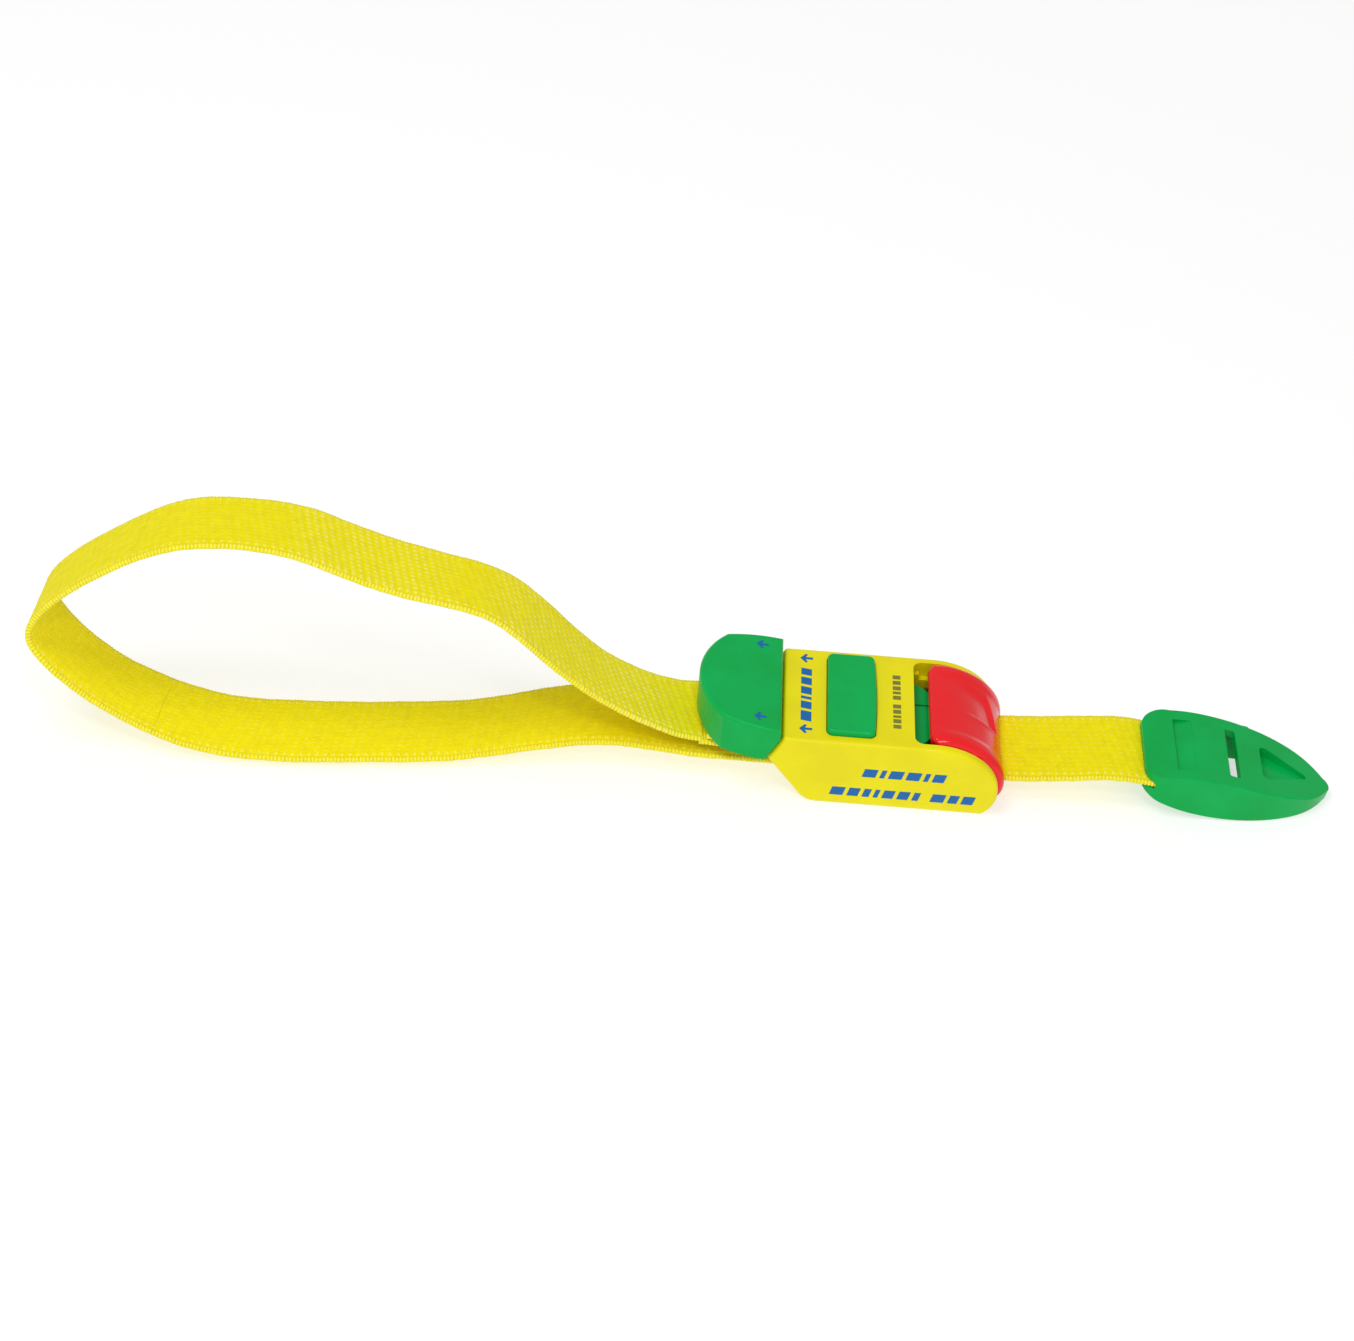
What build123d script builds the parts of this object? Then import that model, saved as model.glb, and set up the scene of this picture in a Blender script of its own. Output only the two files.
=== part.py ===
from build123d import *
from math import atan2, cos, hypot, pi, sin, tan, radians
import os

# Quick-release tourniquet with one-handed buckle, in millimetres.
# X runs along the buckle from the arm loop (-X) to the free end of the webbing (+X),
# Y runs across it and Z is up. The origin lies on the flat underside of the housing.

os.makedirs("parts", exist_ok=True)

# --- driving dimensions -------------------------------------------------------------

webbing_width = 25.0
webbing_thickness = 1.6
webbing_level = 7.0            # middle of the webbing where it runs through the buckle

housing_half_width = 18.5
housing_height = 20.0
wall = 2.3                     # side walls
roof = 2.0                     # roof and front walls
nose_centre = (9.0, 7.0)       # centre of the quarter ellipse at the lever end
nose_reach = 17.0
edge_radius = 1.1              # rounding between the side walls and everything else
roof_end = 3.8                 # where the roof stops short of the lever

tongue_bottom = 13.4
tongue_thickness = 2.5
tongue_half_width = 12.4
tongue_tip = 8.6

window = (-18.5, -5.6)         # opening in the roof for the release button
button_stand_out = 1.6
button_clearance = 0.2
button_bulge = 0.5
button_travel = 2.0

pivot = (16.0, 12.5)           # lever pin, X and Z
pin_radius = 1.2
lever_half_width = 15.9

anchor_bar_at = (-38.2, 16.4)  # bar in the plug head, X and Z
anchor_bar_radius = 1.5

tip_mouth = (63.0, 9.9)        # where the webbing enters the end tip, X and Z
tip_pitch = 10.0               # degrees, nose down
tip_length = 50.0
tip_crease_radius = 0.4
tip_slot_at = 22.6             # middle of the slot, from the mouth
tip_slot_length = 2.8          # along the tip
tip_slot_width = 18.4
tip_window_end = 29.2          # end of the window under the slot, from the mouth
tip_window_width = 22.8
tip_skin = 2.1                 # thickness of the upper shell over the hollow

inner_half_width = housing_half_width - wall
tongue_top = tongue_bottom + tongue_thickness
rail_bottom, rail_step, rail_top = 13.0, 15.7, 17.4
rail_end = 8.8
webbing_top = webbing_level + webbing_thickness / 2
webbing_bottom = webbing_level - webbing_thickness / 2

# --- routes of the webbing, as (X, Z) points along its middle ------------------------
# Each route ends halfway along a straight run, where the next one begins.

split_inside = -23.0           # joint of the pulled and the looped stretch, in the housing
joint_gap = 0.1

tail_route = [
    (split_inside + joint_gap, webbing_level),
    (27.0, webbing_level),
    (44.0, 9.0),
    (54.0, 10.3),
    (61.5, 10.15),
    (77.0, 7.42),
]
lower_route = [
    (split_inside - joint_gap, webbing_level),
    (-37.0, webbing_level),
    (-50.0, 6.8),
    (-63.0, 8.2),
    (-76.0, 8.1),
    (-90.0, 5.4),
    (-104.0, 2.2),
    (-118.0, 0.8),
    (-160.0, 0.8),
    (-178.0, 2.6),
    (-185.75, 5.7),
]
bend_route = [
    (-185.75, 5.7),
    (-193.5, 8.8),
    (-204.0, 16.6),
    (-212.5, 26.5),
    (-215.8, 35.5),
    (-210.5, 43.5),
    (-201.0, 50.8),
    (-190.0, 56.0),
]
upper_route = [
    (-190.0, 56.0),
    (-179.0, 61.2),
    (-165.0, 63.8),
    (-152.0, 63.0),
    (-140.0, 58.7),
    (-128.0, 53.8),
    (-116.0, 51.0),
    (-106.0, 48.4),
    (-98.0, 43.4),
    (-90.0, 35.6),
    (-82.0, 27.4),
    (-74.0, 20.6),
    (-65.0, 15.4),
    (-56.0, 12.0),
    (-49.75, 11.55),
]


def bend_radii(route):
    """Radius at each inner point: 0.45 of the shorter run over the tangent of half the turn."""
    radii = []
    for before, here, after in zip(route, route[1:], route[2:]):
        run_in = (here[0] - before[0], here[1] - before[1])
        run_out = (after[0] - here[0], after[1] - here[1])
        turn = atan2(
            run_in[0] * run_out[1] - run_in[1] * run_out[0],
            run_in[0] * run_out[0] + run_in[1] * run_out[1],
        )
        shorter = min(hypot(*run_in), hypot(*run_out))
        radii.append(0.45 * shorter / tan(abs(turn) / 2))
    return radii


def webbing(name, route, radii=None):
    """A flat band of webbing that follows a route in the XZ plane."""
    with BuildPart() as band:
        with BuildSketch(Plane.XZ):
            with BuildLine():
                FilletPolyline(*route, radius=radii or bend_radii(route))
            trace(line_width=webbing_thickness)
        extrude(amount=webbing_width / 2, both=True)
    return finish(name, band.part)


def finish(name, part):
    part.label = name
    export_step(part, f"parts/{name}.step")
    return part


def button_outline(level, shrink, corner):
    """Outline of the button or its window at a level; the edge towards the lever bulges."""
    left = window[0] + shrink
    right = window[1] - shrink - button_bulge
    half = inner_half_width - 0.35 - shrink
    with BuildSketch(Plane.XY.offset(level)) as outline:
        with BuildLine():
            Polyline((right, half), (left, half), (left, -half), (right, -half))
            ThreePointArc((right, -half), (right + button_bulge, 0), (right, half))
        make_face()
        fillet(outline.vertices(), radius=corner)
    return outline.sketch


def side_profile(points, amount, mode=Mode.ADD):
    """Extrude a closed XZ outline to both sides of the middle plane."""
    with BuildSketch(Plane.XZ) as outline:
        with BuildLine():
            Polyline(*points, close=True)
        make_face()
    return extrude(outline.sketch, amount=amount, both=True, mode=mode)


# --- housing ---------------------------------------------------------------------------

front_top = (-29.0, housing_height)
front_edge = (-32.6, 13.2)
front_foot = (-22.2, 0.0)
heel = (22.6, 0.0)
nose_tip = (nose_centre[0] + nose_reach, nose_centre[1])

with BuildPart() as housing_shell:
    with BuildSketch(Plane.XZ):
        with BuildLine():
            FilletPolyline(
                (nose_centre[0], housing_height), front_top, front_edge, front_foot, heel,
                radius=(1.0, 1.2, 6.0),
            )
            ThreePointArc(heel, (25.1, 2.8), nose_tip)
            EllipticalCenterArc(
                nose_centre, nose_reach, housing_height - nose_centre[1],
                start_angle=0, arc_size=90,
            )
        make_face()
    extrude(amount=housing_half_width, both=True)
    for side in (0, -1):
        fillet(housing_shell.faces().sort_by(Axis.Y)[side].edges(), radius=edge_radius)

    # chamber under the roof, open below for the base plate and open at the lever end
    side_profile(
        [
            (-18.8, -1), (31, -1), (31, housing_height - roof),
            (-27.6, housing_height - roof), (-30.0, 13.4), (-20.6, 1.4), (-18.8, 1.4),
        ],
        inner_half_width,
        Mode.SUBTRACT,
    )
    # opening over the lever, with rounded corners at the roof's edge
    with BuildSketch(Plane.XY.offset(housing_height - roof - 0.5)):
        with Locations(((roof_end + 38) / 2, 0)):
            RectangleRounded(38 - roof_end, 2 * inner_half_width, 2.4)
    extrude(amount=5, mode=Mode.SUBTRACT)
    # button window
    extrude(button_outline(housing_height - roof - 1, 0, 1.8), amount=5, mode=Mode.SUBTRACT)
    # plug mouth and, below it, the mouth of the webbing
    for low, high, half in (
        (tongue_bottom - 0.3, tongue_top + 0.3, tongue_half_width + 0.4),
        (webbing_bottom - 0.5, webbing_top + 0.5, webbing_width / 2 + 0.6),
    ):
        side_profile([(-36, low), (-20, low), (-20, high), (-36, high)], half, Mode.SUBTRACT)
    # stepped rails along the side walls, beside the end of the plug
    for side in (-1, 1):
        with BuildSketch(Plane.XZ.offset(side * (inner_half_width - 0.8))):
            with BuildLine():
                Polyline((-3.5, rail_bottom), (rail_end, rail_bottom), (rail_end, rail_step),
                         (5.5, rail_step), (5.5, rail_top), (-3.5, rail_top), close=True)
            make_face()
        extrude(amount=0.85, both=True)
    # blind holes for the lever pin
    with BuildSketch(Plane.XZ):
        with Locations(pivot):
            Circle(pin_radius + 0.03)
    extrude(amount=inner_half_width + 1.2, both=True, mode=Mode.SUBTRACT)
finish("housing_shell", housing_shell.part)

# --- base plate with the anvil under the cam -----------------------------------------------

plate_top = 1.6
bed_top = webbing_bottom - 0.15
spring_x = -12.0
spring_y = 14.5

with BuildPart() as base_plate:
    side_profile(
        [(-18.7, 0), (22.2, 0), (22.2, plate_top), (-18.7, plate_top)], inner_half_width - 0.05
    )
    # ribs that carry the webbing across the chamber
    for x in (-15.0, -7.0, 1.0):
        side_profile(
            [(x - 0.8, plate_top), (x + 0.8, plate_top), (x + 0.8, bed_top), (x - 0.8, bed_top)],
            webbing_width / 2,
        )
    # anvil, with fine teeth across its top
    side_profile(
        [(8.5, plate_top), (22.2, plate_top), (22.2, bed_top - 0.6), (21.0, bed_top),
         (9.5, bed_top), (8.5, bed_top - 0.6)],
        webbing_width / 2,
    )
    for tooth in range(7):
        x = 11.0 + 1.4 * tooth
        side_profile([(x, bed_top), (x + 0.4, bed_top - 0.4), (x + 0.8, bed_top)],
                     webbing_width / 2, Mode.SUBTRACT)
    # seats of the two button springs
    with BuildSketch(Plane.XY.offset(plate_top)):
        with Locations((spring_x, spring_y), (spring_x, -spring_y)):
            Circle(0.75)
    extrude(amount=1.4)
finish("base_plate", base_plate.part)

# --- release button: cap, legs and the latch bar under the tongue -----------------------------

cap_half_width = inner_half_width - 0.35 - button_clearance
cap_x = (window[0] + button_clearance, window[1] - button_clearance)
cap_top = housing_height + button_stand_out
cap_bottom = tongue_top + button_travel + 0.3
leg_inside = 13.1
bar_level = (10.4, 12.2)
latch_x = (-14.2, -9.8)

with BuildPart() as release_button:
    extrude(button_outline(cap_bottom, button_clearance, 1.6), amount=cap_top - cap_bottom)
    fillet(release_button.faces().sort_by(Axis.Z)[-1].edges(), radius=0.8)
    # legs beside the tongue and the bar below it
    for side in (-1, 1):
        with BuildSketch(Plane.XZ.offset(side * (leg_inside + cap_half_width) / 2)):
            with Locations((sum(latch_x) / 2, (bar_level[0] + 19) / 2)):
                Rectangle(latch_x[1] - latch_x[0], 19 - bar_level[0])
        extrude(amount=(cap_half_width - leg_inside) / 2, both=True)
        # ears that stop the button under the roof
        with BuildSketch(Plane.XZ.offset(side * (leg_inside + cap_half_width) / 2)):
            with Locations((sum(cap_x) / 2, housing_height - roof - 0.8)):
                Rectangle(cap_x[1] - cap_x[0] + 2.2, 1.4)
        extrude(amount=(cap_half_width - leg_inside) / 2, both=True)
    side_profile(
        [(latch_x[0], bar_level[0]), (latch_x[1], bar_level[0]),
         (latch_x[1], bar_level[1]), (latch_x[0], bar_level[1])],
        cap_half_width,
    )
    # the catch: a ramp towards the plug mouth and an upright face behind it
    side_profile(
        [(-13.8, bar_level[1]), (-10.2, bar_level[1]), (-10.2, tongue_bottom - 0.25),
         (-11.4, tongue_bottom - 0.25)],
        6.5,
    )
    # spring pockets in the feet of the legs
    with BuildSketch(Plane.XY.offset(bar_level[0])):
        with Locations((spring_x, spring_y), (spring_x, -spring_y)):
            Circle(0.7)
    extrude(amount=0.8, mode=Mode.SUBTRACT)
finish("release_button", release_button.part)

# --- coil springs ----------------------------------------------------------------------------


def coil_spring(name, foot, direction, height, turns, radius, wire_radius):
    """Round wire wound on a helix that starts at the foot and runs along the direction."""
    with BuildPart() as spring:
        with BuildLine() as path:
            Helix(height / turns, height, radius, center=foot, direction=direction)
        with BuildSketch(Plane(origin=path.line @ 0, z_dir=path.line % 0)):
            Circle(wire_radius)
        sweep()
    return finish(name, spring.part)


wire = 0.2
spring_foot = plate_top + wire + 0.05
for name, side in (("button_spring_front", -1), ("button_spring_back", 1)):
    coil_spring(name, (spring_x, side * spring_y, spring_foot), (0, 0, 1),
                bar_level[0] - wire - 0.05 - spring_foot, 7, 1.0, wire)

# --- lever ------------------------------------------------------------------------------------

lever_rise = 0.9               # how far the lever stands proud of the side walls
lever_left = 7.5
lever_edge_radius = 1.2
scoop_centre = (28.9, 4.0, 31.4)
scoop_radius = 17.0
skirt_bottom = 18.2
ear_tip = (26.3, 3.8)
shell = 2.0


def lever_outline(inset):
    """Closed XZ outline of the lever's curved back, moved inwards by the inset."""
    reach = nose_reach + 1.4 - inset
    height = housing_height - nose_centre[1] + lever_rise - inset
    top_left = (nose_centre[0], nose_centre[1] + height)
    return reach, height, top_left


with BuildPart() as release_lever:
    reach, height, top_left = lever_outline(0)
    right = (nose_centre[0] + reach, nose_centre[1])
    inner_reach, inner_height, inner_top = lever_outline(shell)
    inner_right = (nose_centre[0] + inner_reach, nose_centre[1])
    with BuildSketch(Plane.XZ):
        with BuildLine():
            EllipticalCenterArc(nose_centre, reach, height, start_angle=0, arc_size=90)
            FilletPolyline(top_left, (lever_left, top_left[1]), (lever_left, skirt_bottom),
                           (inner_top[0] + 1.5, skirt_bottom), radius=(0.9, 0.3))
            Line((inner_top[0] + 1.5, skirt_bottom), (18.0, 6.0))
            Line((18.0, 6.0), (20.5, 3.6))
            FilletPolyline((20.5, 3.6), (ear_tip[0] - 0.2, 3.6), right, radius=0.9)
        make_face()
    extrude(amount=lever_half_width, both=True)
    for side in (0, -1):
        fillet(release_lever.faces().sort_by(Axis.Y)[side].edges().filter_by(GeomType.ELLIPSE),
               radius=lever_edge_radius)
    # hollow under the back, between the side plates
    with BuildSketch(Plane.XZ):
        with BuildLine():
            EllipticalCenterArc(nose_centre, inner_reach, inner_height,
                                start_angle=0, arc_size=90)
            Polyline(inner_top, (0, inner_top[1]), (0, 0), (inner_right[0], 0), inner_right)
        make_face()
    extrude(amount=lever_half_width - 2.9, both=True, mode=Mode.SUBTRACT)
    # passage for the webbing under the back, between the ears
    side_profile([(20, 0), (32, 0), (32, 9.6), (20, 9.6)], lever_half_width - 2.9, Mode.SUBTRACT)
    # thumb scoop: part of a ball, a little behind the middle
    with Locations(scoop_centre):
        Sphere(scoop_radius, mode=Mode.SUBTRACT)
    # toothed cam round the pin
    with BuildSketch(Plane.XZ):
        with BuildLine():
            Polyline(
                (pivot[0] - 3.4, pivot[1] - 0.6), (pivot[0] - 3.2, pivot[1] + 3.2), (16.0, 18.6),
                (22.0, 15.0), (pivot[0] + 3.6, pivot[1] - 1.2), (19.0, 8.5), (18.2, 8.0),
                (17.6, 8.5), (17.0, 7.95), (16.4, 8.5), (15.8, 8.05), (15.0, 8.6), close=True,
            )
        make_face()
    extrude(amount=10.6, both=True)
    with BuildSketch(Plane.XZ):
        with Locations(pivot):
            Circle(pin_radius + 0.05)
    extrude(amount=lever_half_width + 1, both=True, mode=Mode.SUBTRACT)
finish("release_lever", release_lever.part)

with BuildPart() as lever_pin:
    with BuildSketch(Plane.XZ):
        with Locations(pivot):
            Circle(pin_radius)
    extrude(amount=inner_half_width + 1.1, both=True)
    chamfer(lever_pin.edges().filter_by(GeomType.CIRCLE), length=0.25)
finish("lever_pin", lever_pin.part)

# torsion spring beside the cam, round the pin
coil_spring("lever_spring", (pivot[0], -11.0, pivot[1]), (0, -1, 0), 1.5, 3, 1.9, 0.22)

# --- plug: head with the anchor bar, and the tongue ---------------------------------------------

head_right = (-29.8, 22.6)
head_left = (-52.0, 25.7)
head_edge_radius = 1.1
slit_at = 3.9
head_left_x = -51.0
face_bottom = (-33.4, 13.0)
roof_inside = 19.7

with BuildPart() as plug_body:
    # head in plan
    with BuildSketch(Plane.XY.offset(12)):
        with BuildLine():
            ThreePointArc((-29, -18.8), (-37.5, -18.4), (-44.5, -16.6))
            ThreePointArc((-44.5, -16.6), (head_left_x, 0), (-44.5, 16.6))
            ThreePointArc((-44.5, 16.6), (-37.5, 18.4), (-29, 18.8))
            Line((-29, 18.8), (-29, -18.8))
        make_face()
    extrude(amount=15)
    # head from the side: a wedge that rises towards the loop
    with BuildSketch(Plane.XZ):
        with BuildLine():
            Polyline((head_left[0], 15.4), (-44.5, 13.9), face_bottom, (-29.9, 19.8), head_right,
                     head_left, close=True)
        make_face()
    extrude(amount=20, both=True, mode=Mode.INTERSECT)
    fillet(plug_body.faces().sort_by(Axis.Z)[-1].edges(), radius=head_edge_radius)
    # cavity for the webbing's anchor, open below
    with BuildSketch(Plane.XY.offset(12)):
        with BuildLine():
            ThreePointArc((-34.9, -16.4), (-39, -16.1), (-43.6, -15.0))
            ThreePointArc((-43.6, -15.0), (head_left_x + 1.9, 0), (-43.6, 15.0))
            ThreePointArc((-43.6, 15.0), (-39, 16.1), (-34.9, 16.4))
            Line((-34.9, 16.4), (-34.9, -16.4))
        make_face()
    extrude(amount=roof_inside - 12, mode=Mode.SUBTRACT)
    # tongue, with a rounded end and a slit behind its middle
    with BuildSketch(Plane.XY.offset(tongue_bottom)):
        with BuildLine():
            FilletPolyline(
                (-34.5, -tongue_half_width), (tongue_tip, -tongue_half_width),
                (tongue_tip, tongue_half_width), (-34.5, tongue_half_width), radius=(6.0, 6.0),
            )
            Line((-34.5, tongue_half_width), (-34.5, -tongue_half_width))
        make_face()
        with Locations((2.0, slit_at)):
            Rectangle(12.0, 0.6, mode=Mode.SUBTRACT)
    extrude(amount=tongue_thickness)
    # notch for the catch
    side_profile(
        [(-14.4, tongue_bottom - 1), (-9.6, tongue_bottom - 1), (-9.6, tongue_bottom + 1.2),
         (-14.4, tongue_bottom + 1.2)],
        7.0, Mode.SUBTRACT,
    )
    # blind holes for the anchor bar
    with BuildSketch(Plane.XZ):
        with Locations(anchor_bar_at):
            Circle(anchor_bar_radius + 0.02)
    extrude(amount=17.4, both=True, mode=Mode.SUBTRACT)
finish("plug_body", plug_body.part)

with BuildPart() as anchor_bar:
    with BuildSketch(Plane.XZ):
        with Locations(anchor_bar_at):
            Circle(anchor_bar_radius)
    extrude(amount=17.3, both=True)
    chamfer(anchor_bar.edges().filter_by(GeomType.CIRCLE), length=0.3)
finish("anchor_bar", anchor_bar.part)

# --- webbing --------------------------------------------------------------------------------------

webbing("strap_tail", tail_route)
webbing("strap_lower", lower_route)
webbing("strap_bend", bend_route)
webbing("strap_upper", upper_route)

bar_x, bar_z = anchor_bar_at
wrap = anchor_bar_radius + webbing_thickness / 2 + 0.2
flap_level = 13.25
webbing(
    "strap_anchor_loop",
    [
        (-49.75, 11.55), (-43.5, 11.1), (bar_x + wrap, bar_z - wrap), (bar_x + wrap, bar_z + wrap),
        (bar_x - wrap, bar_z + wrap - 0.3), (-43.6, flap_level + 0.05), (-48.0, flap_level),
    ],
    [12.0, 2.4, 2.3, 2.0, 2.4],
)

stitch_rows = (-47.2, -45.0)
stitch_pitch = 2.0
with BuildPart() as anchor_stitching:
    for row in stitch_rows:
        with BuildSketch(Plane.XY.offset(10.1)):
            with GridLocations(0, stitch_pitch, 1, 11):
                with Locations((row, 0)):
                    SlotOverall(1.5, 0.5, rotation=90)
        extrude(amount=0.35)
finish("anchor_stitching", anchor_stitching.part)

# --- end tip: two shells with the webbing clamped between them ------------------------------------------

pitch = radians(tip_pitch)
tip_along = (cos(pitch), 0, -sin(pitch))
tip_up = (sin(pitch), 0, cos(pitch))
tip_mid = Plane(origin=(tip_mouth[0], 0, tip_mouth[1]), x_dir=tip_along, z_dir=tip_up)
tip_side = Plane(origin=tip_mid.origin, x_dir=tip_along, z_dir=(0, -1, 0))

tip_crown = [(0, 2.5), (8, 4.7), (17, 5.7), (27, 5.3), (38, 3.9), (tip_length, 1.7)]
tip_keel = [(0, 2.5), (8, 4.7), (17, 5.6), (27, 4.9), (38, 3.0), (tip_length, 0.9)]
tip_edge = [(6, 13.7), (17, 13.5), (29, 12.7), (38, 10.7), (45, 6.9), (49.0, 2.3)]


def tip_shell(name, up):
    """One half of the tip: up is 1 for the upper shell and -1 for the lower one."""
    with BuildPart() as tip:
        with BuildSketch(tip_mid.offset(-8)):
            with BuildLine():
                Line((0, -8), (0, 8))
                ThreePointArc((0, 8), (1.7, 12.1), tip_edge[0])
                Spline(*tip_edge, tangents=[(1, 0.06), (0.5, -0.8)])
                ThreePointArc(tip_edge[-1], (tip_length, 0), (tip_edge[-1][0], -tip_edge[-1][1]))
                Spline(*[(s, -y) for s, y in tip_edge], tangents=[(1, -0.06), (0.5, 0.8)])
                ThreePointArc((6, -13.7), (1.7, -12.1), (0, -8))
            make_face()
        extrude(amount=16)
        with BuildSketch(tip_side):
            with BuildLine():
                crown = [(s, up * n) for s, n in (tip_crown if up > 0 else tip_keel)]
                Spline(*crown)
                Polyline(crown[-1], (tip_length + 2, crown[-1][1]), (tip_length + 2, 0), (-2, 0),
                         (-2, crown[0][1]), crown[0])
            make_face()
        extrude(amount=18, both=True, mode=Mode.INTERSECT)
        # the soft crease between the crown and the side
        if up > 0:
            crease = tip.edges().filter_by(
                lambda edge: (edge @ 0.5 - tip_mid.origin).dot(tip_mid.z_dir) > 1.0
                and edge.length > 0.8 * tip_length and abs((edge @ 0.5).Y) > 5
            )
            fillet(crease, radius=tip_crease_radius)
        # pocket for the webbing
        with BuildSketch(tip_side):
            with Locations((6.5, 0)):
                Rectangle(17.0, webbing_thickness + 0.3)
        extrude(amount=webbing_width / 2 + 0.4, both=True, mode=Mode.SUBTRACT)
        # slot right through, over a hollow that opens into a window in the lower shell
        with BuildSketch(tip_mid.offset(-9)):
            with Locations((tip_slot_at, 0)):
                RectangleRounded(tip_slot_length, tip_slot_width, 0.6)
        extrude(amount=18, mode=Mode.SUBTRACT)
        window_end = tip_window_end if up < 0 else tip_window_end - 1.7
        window_start = tip_slot_at - tip_slot_length / 2
        with BuildSketch(tip_mid.offset(-9)):
            with Locations(((window_start + window_end) / 2, 0)):
                RectangleRounded(window_end - window_start, tip_window_width, 0.6)
        extrude(amount=9 + tip_crown[2][1] - tip_skin, mode=Mode.SUBTRACT)
        if up > 0:
            # sloping recess by the mouth
            with BuildSketch(tip_side):
                with BuildLine():
                    Polyline((7.6, 9), (7.6, 3.5), (12.4, 5.3), (12.4, 9), close=True)
                make_face()
            extrude(amount=9.9, both=True, mode=Mode.SUBTRACT)
            # three-cornered pocket by the nose
            with BuildSketch(tip_mid.offset(2.1)):
                with BuildLine():
                    FilletPolyline((30.5, -7), (44.5, 0), (30.5, 7), radius=(1.5, 1.0, 1.5),
                                   close=True)
                make_face()
            extrude(amount=6, mode=Mode.SUBTRACT)
            # hinge knuckle on the far edge
            with BuildSketch(tip_mid.offset(0.6)):
                with Locations((26.6, 13.1)):
                    RectangleRounded(4.2, 1.8, 0.5)
            extrude(amount=3.8)
    return finish(name, tip.part)


tip_shell("tip_upper_shell", 1)
tip_shell("tip_lower_shell", -1)
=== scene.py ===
from math import cos, pi, radians, sin

import bmesh
import bpy
import numpy as np
from mathutils import Matrix, Vector
from mathutils.bvhtree import BVHTree
from mathutils.geometry import tessellate_polygon


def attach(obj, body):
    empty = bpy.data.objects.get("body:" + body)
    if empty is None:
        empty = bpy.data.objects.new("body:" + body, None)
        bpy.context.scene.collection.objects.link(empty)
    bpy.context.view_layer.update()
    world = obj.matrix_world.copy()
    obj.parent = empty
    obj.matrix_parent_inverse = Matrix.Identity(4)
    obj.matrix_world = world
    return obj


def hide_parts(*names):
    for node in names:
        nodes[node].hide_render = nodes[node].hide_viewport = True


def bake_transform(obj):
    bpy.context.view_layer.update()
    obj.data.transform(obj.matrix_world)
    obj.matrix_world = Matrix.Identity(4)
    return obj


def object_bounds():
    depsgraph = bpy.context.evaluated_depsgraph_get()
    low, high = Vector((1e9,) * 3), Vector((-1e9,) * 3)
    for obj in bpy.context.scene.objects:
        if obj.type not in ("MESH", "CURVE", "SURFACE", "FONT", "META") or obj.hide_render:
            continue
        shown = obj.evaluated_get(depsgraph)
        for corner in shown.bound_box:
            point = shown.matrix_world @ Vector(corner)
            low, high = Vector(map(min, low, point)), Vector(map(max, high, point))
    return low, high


# Quick-release tourniquet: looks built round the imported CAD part, in metres. Lengths below are
# written in millimetres and multiplied by MM where a mesh or an object is made.

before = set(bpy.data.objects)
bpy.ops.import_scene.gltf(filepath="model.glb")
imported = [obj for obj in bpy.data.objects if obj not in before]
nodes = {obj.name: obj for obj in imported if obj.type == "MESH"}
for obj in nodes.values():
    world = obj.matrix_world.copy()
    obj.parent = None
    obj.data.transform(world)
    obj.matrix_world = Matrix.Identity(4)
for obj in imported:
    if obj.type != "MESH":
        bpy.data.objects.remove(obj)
cad_low, cad_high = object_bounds()

MM = 0.001

# --- camera ---------------------------------------------------------------------------------

ELEVATION = radians(38.85)
TURN = radians(-0.89)
ROLL = radians(5.12)
AIM = Vector((-56.5, 12.3, 14.2)) * MM
DISTANCE = 832.2 * MM
LENS = 86.18


def make_camera():
    """Camera in front of the object, looking down at it and slightly rolled."""
    back = Vector((sin(TURN) * cos(ELEVATION), -cos(TURN) * cos(ELEVATION), sin(ELEVATION)))
    right = Vector((0, 0, 1)).cross(back).normalized()
    up = back.cross(right)
    rolled_right = cos(ROLL) * right + sin(ROLL) * up
    rolled_up = cos(ROLL) * up - sin(ROLL) * right
    data = bpy.data.cameras.new("camera")
    data.lens = LENS
    data.sensor_width = 36.0
    data.clip_start, data.clip_end = 0.01, 20.0
    camera = bpy.data.objects.new("camera", data)
    axes = Matrix((rolled_right, rolled_up, back)).transposed()
    camera.matrix_world = Matrix.Translation(AIM + back * DISTANCE) @ axes.to_4x4()
    bpy.context.scene.collection.objects.link(camera)
    bpy.context.scene.camera = camera


make_camera()
bpy.context.scene.view_settings.view_transform = "Standard"

# --- shader helpers --------------------------------------------------------------------------


def colour(text):
    """Linear RGBA from an sRGB hex colour."""
    parts = [int(text[i:i + 2], 16) / 255 for i in (1, 3, 5)]
    return (*[p / 12.92 if p <= 0.04045 else ((p + 0.055) / 1.055) ** 2.4 for p in parts], 1.0)


def add(tree, kind, inputs=None, **settings):
    """One shader node. Settings are its attributes; inputs are constants or the sockets that feed it."""
    node = tree.nodes.new(kind)
    for key, value in settings.items():
        setattr(node, key, value)
    for key, value in (inputs or {}).items():
        if isinstance(value, bpy.types.NodeSocket):
            tree.links.new(value, node.inputs[key])
        else:
            node.inputs[key].default_value = value
    return node


def new_material(name):
    """An empty node material, its tree, its surface shader and its output."""
    material = bpy.data.materials.new(name)
    material.use_nodes = True
    tree = material.node_tree
    tree.nodes.clear()
    surface = tree.nodes.new("ShaderNodeBsdfPrincipled")
    output = tree.nodes.new("ShaderNodeOutputMaterial")
    tree.links.new(surface.outputs["BSDF"], output.inputs["Surface"])
    return material, tree, surface


def calc(tree, operation, a, b=0.0, c=0.0):
    """One math node's result."""
    return add(tree, "ShaderNodeMath", {0: a, 1: b, 2: c}, operation=operation).outputs[0]


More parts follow.
